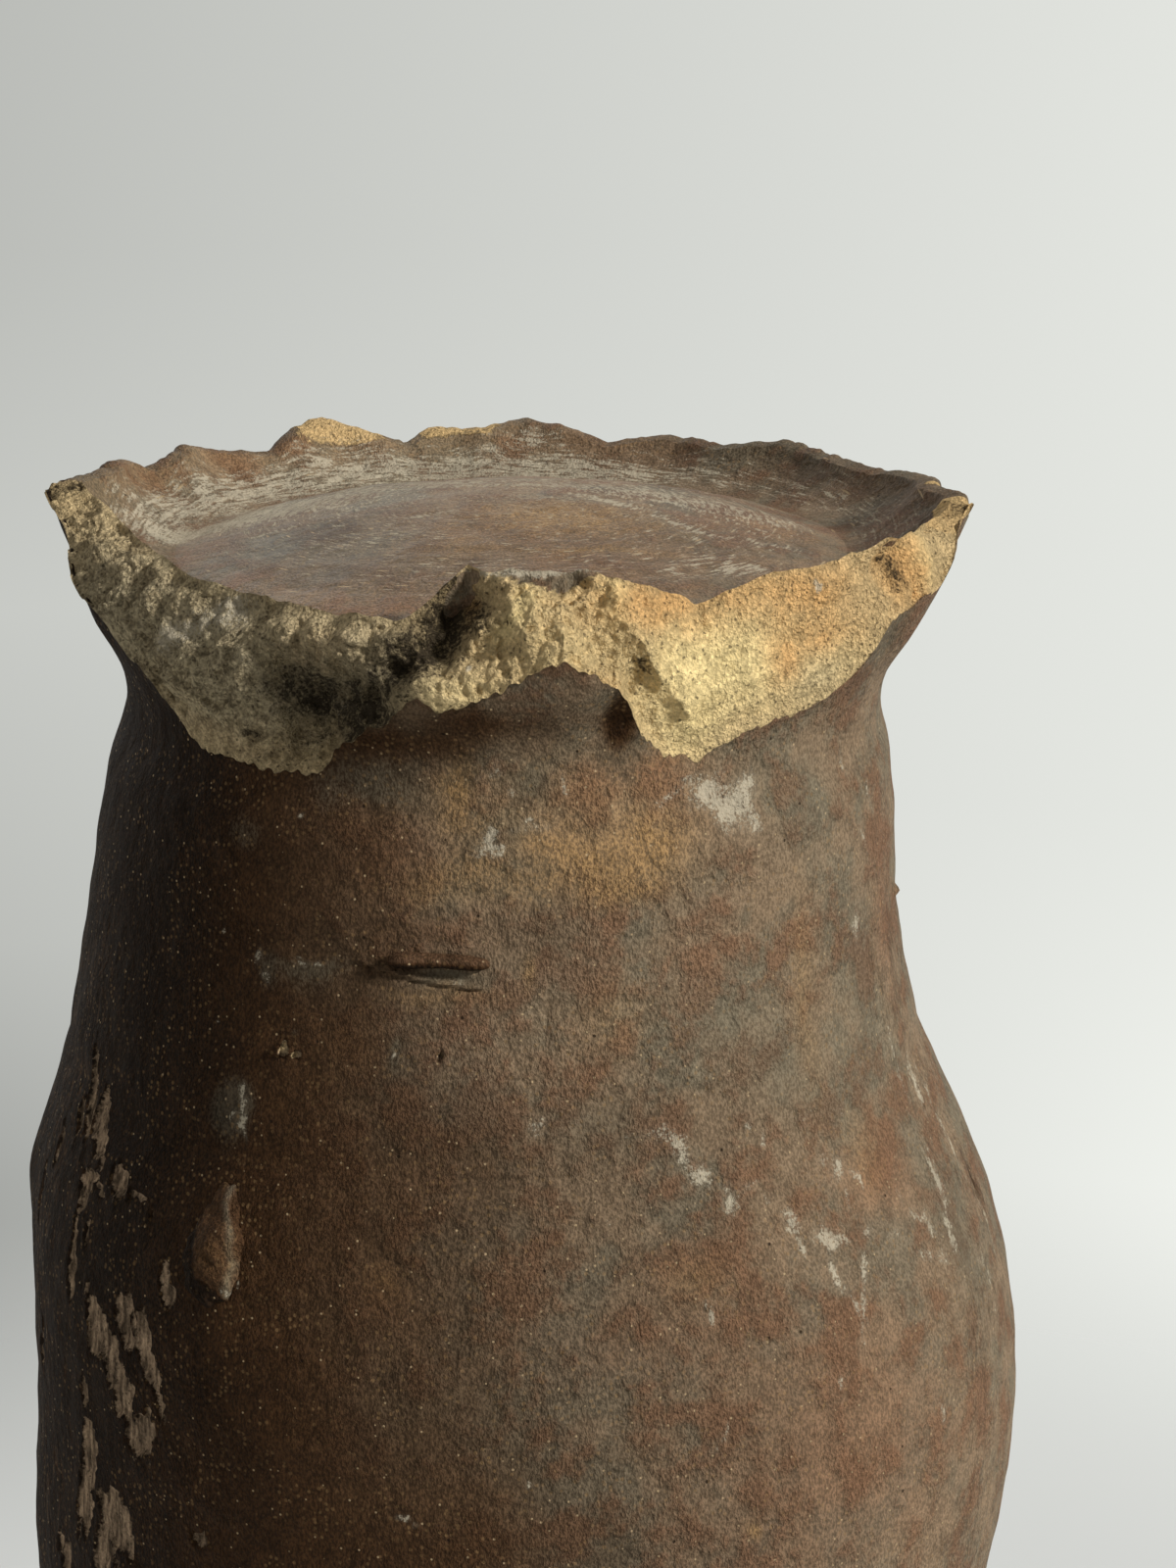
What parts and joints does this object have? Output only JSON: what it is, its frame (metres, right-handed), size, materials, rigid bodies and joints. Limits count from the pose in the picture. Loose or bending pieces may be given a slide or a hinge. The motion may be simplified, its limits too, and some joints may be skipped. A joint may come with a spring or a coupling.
{
  "type": "stoneware jug",
  "caption": "Slender brown stoneware jug standing on its mouth: rounded belly, waisted stem, sagging base and a thumb-pinched foot frill broken at the front, with a strap handle behind.",
  "frame": {"origin": "centre of the mouth, in the plane of its flat edge, which is the plane that the inverted jug stands on", "axes": "+Z along the jug's axis from the mouth up to the foot, as pictured; -Y is the broken front of the foot that the picture shows, +Y is the handle's side, +X is the picture's right"},
  "size_m": [0.1134, 0.1138, 0.242],
  "materials": {
    "iron_wash": "salt glaze over a brown iron wash, orange-peel skin, satin",
    "iron_wash_dark": "salt glaze over a thick iron wash, satin",
    "base_wash": "thin purple-brown wash with a dry white deposit in the trough",
    "bare_clay": "buff stoneware, sandy where it is broken and brown-glazed where it is whole",
    "kiln_grit": "fused grit, matt"
  },
  "bodies": {
    "root": {"rim_band": "iron_wash_dark", "neck_wall": "iron_wash", "neck_cordon": "iron_wash_dark", "shoulder_wall": "iron_wash", "belly_wall": "iron_wash", "stem_wall": "iron_wash", "base_disc": "base_wash", "foot_ring": "bare_clay", "handle_strap": "iron_wash", "kiln_lump": "kiln_grit", "fused_splinter": "kiln_grit"}
  },
  "joints": []
}
